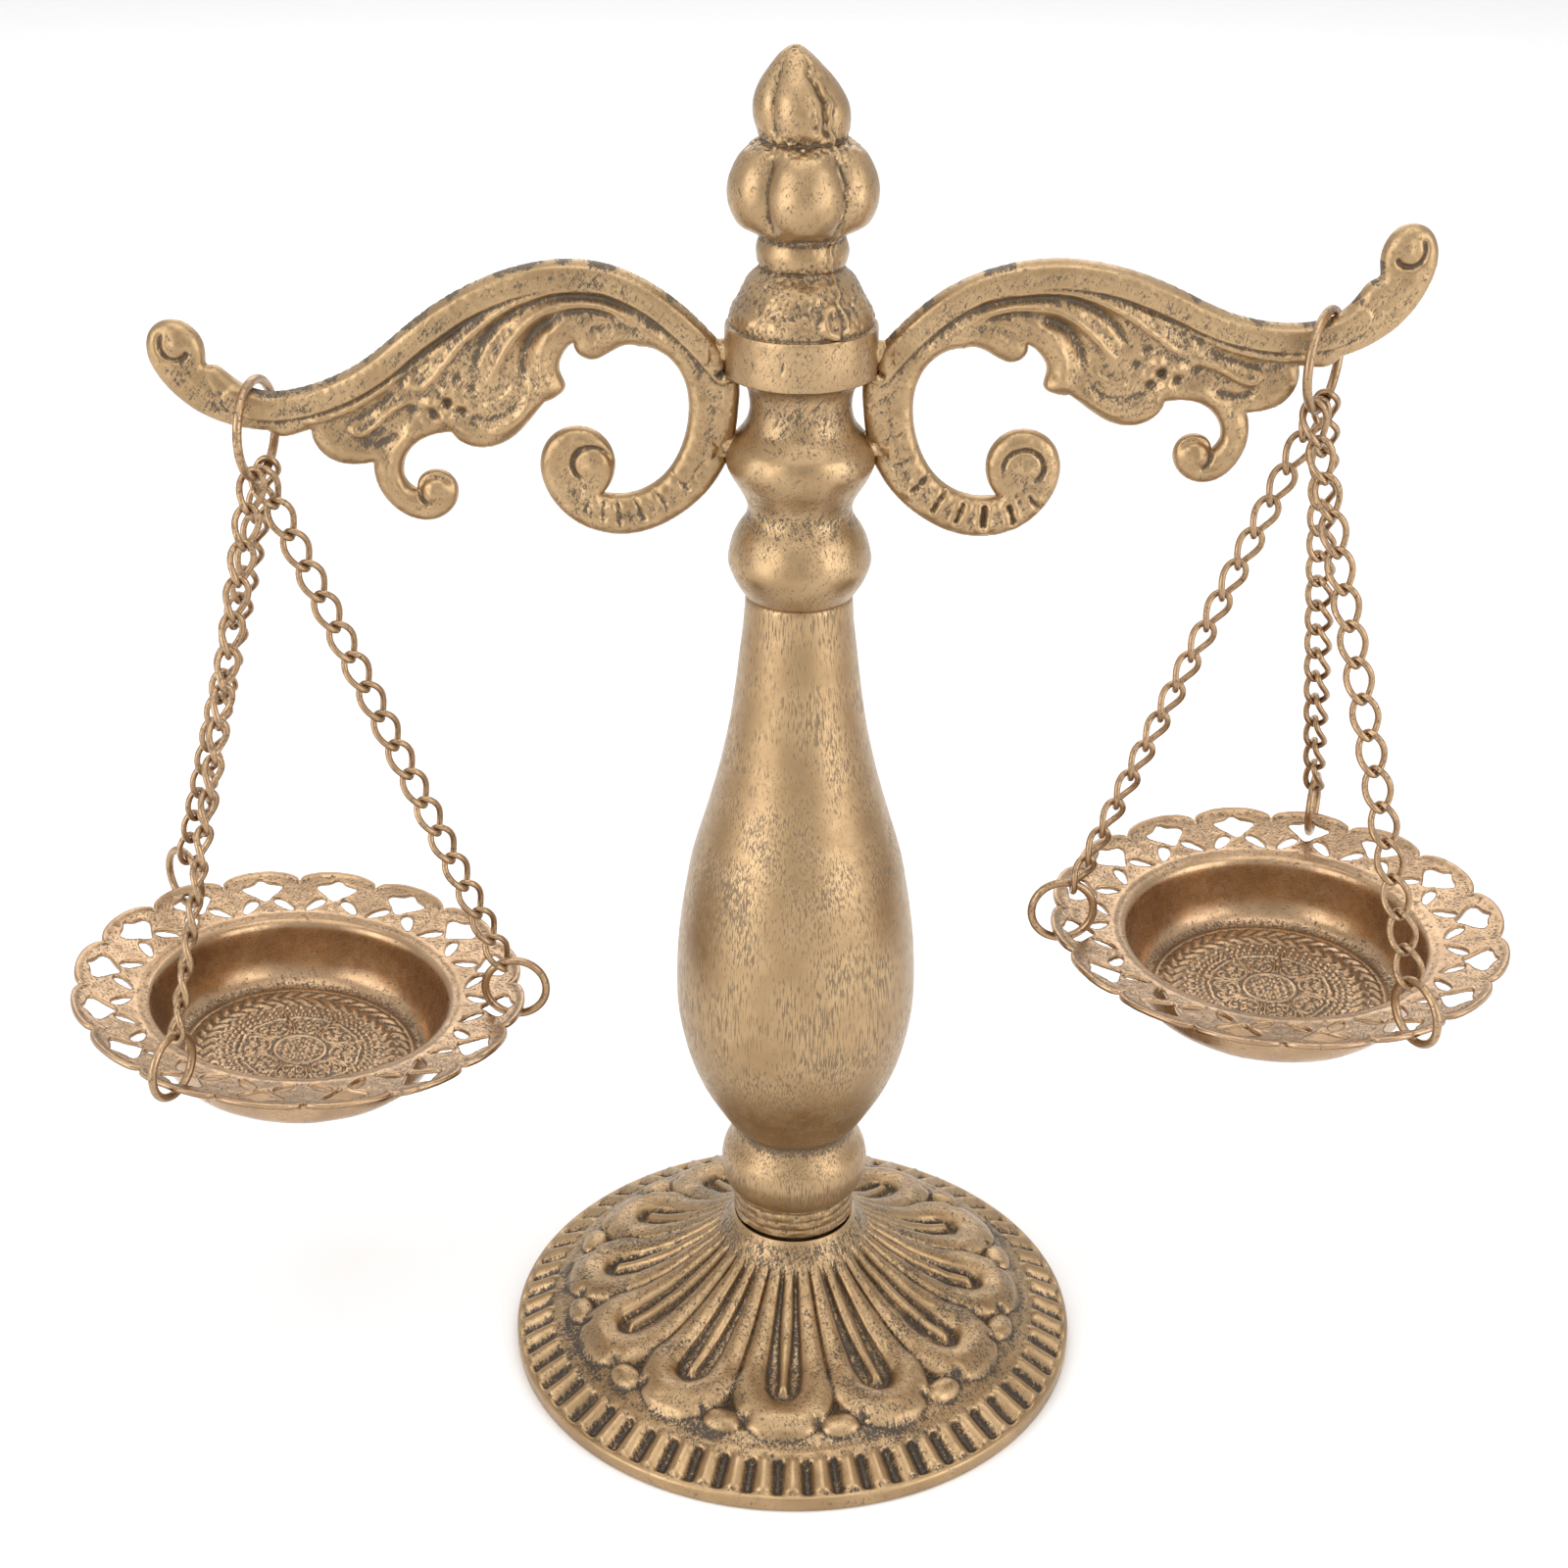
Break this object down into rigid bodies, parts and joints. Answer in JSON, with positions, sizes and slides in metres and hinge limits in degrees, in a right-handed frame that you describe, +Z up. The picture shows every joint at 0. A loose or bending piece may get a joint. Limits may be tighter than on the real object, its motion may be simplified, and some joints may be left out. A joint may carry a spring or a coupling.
{
  "type": "equal arm balance scale",
  "caption": "Decorative gilt balance: domed base, vase column, scrolled arms fixed to an onion-topped head, pierced pans hanging on fine chains.",
  "frame": {"origin": "on the table at the middle of the base, on the column's axis", "axes": "+X along the arms towards the raised arm, +Y away from the front, +Z up"},
  "size_m": [0.2652, 0.11, 0.2505],
  "materials": {
    "gilt_casting": "antique gold paint, satin, dark patina in the recesses",
    "gilt_sheet": "antique brass plate, stamped and patinated",
    "gilt_wire": "antique brass wire",
    "plain_steel": "plain steel"
  },
  "bodies": {
    "stand": {"base_shell": "gilt_casting", "base_washer": "plain_steel", "base_nut": "plain_steel", "column": "gilt_casting", "head_stud": "plain_steel", "head_casting": "gilt_casting", "arm_left": "gilt_casting", "arm_right": "gilt_casting", "arm_lugs_left": "gilt_casting", "arm_lugs_right": "gilt_casting"},
    "hanger_left": {"hanger_ring_left": "gilt_wire"},
    "pan_assembly_left": {"pan_left": "gilt_sheet", "pan_ring_left_front": "gilt_wire", "pan_ring_left_side": "gilt_wire", "pan_ring_left_back": "gilt_wire", "chain_left_front": "gilt_wire", "chain_left_side": "gilt_wire", "chain_left_back": "gilt_wire"},
    "hanger_right": {"hanger_ring_right": "gilt_wire"},
    "pan_assembly_right": {"pan_right": "gilt_sheet", "pan_ring_right_front": "gilt_wire", "pan_ring_right_side": "gilt_wire", "pan_ring_right_back": "gilt_wire", "chain_right_front": "gilt_wire", "chain_right_side": "gilt_wire", "chain_right_back": "gilt_wire"}
  },
  "joints": [
    {"name": "hanger_swing_left", "type": "hinge", "parent": "stand", "child": "hanger_left", "pos_m": [-0.0915, 0, 0.19126], "axis": [1, 0, 0], "range_deg": [-12, 12]},
    {"name": "pan_swing_left", "type": "hinge", "parent": "hanger_left", "child": "pan_assembly_left", "pos_m": [-0.0915, 0, 0.17856], "axis": [0.1908, 0.9816, 0], "range_deg": [-5, 9]},
    {"name": "hanger_swing_right", "type": "hinge", "parent": "stand", "child": "hanger_right", "pos_m": [0.0867, 0, 0.20437], "axis": [1, 0, 0], "range_deg": [-12, 12]},
    {"name": "pan_swing_right", "type": "hinge", "parent": "hanger_right", "child": "pan_assembly_right", "pos_m": [0.0867, 0, 0.19167], "axis": [0.4848, 0.8746, 0], "range_deg": [-9, 4]}
  ]
}
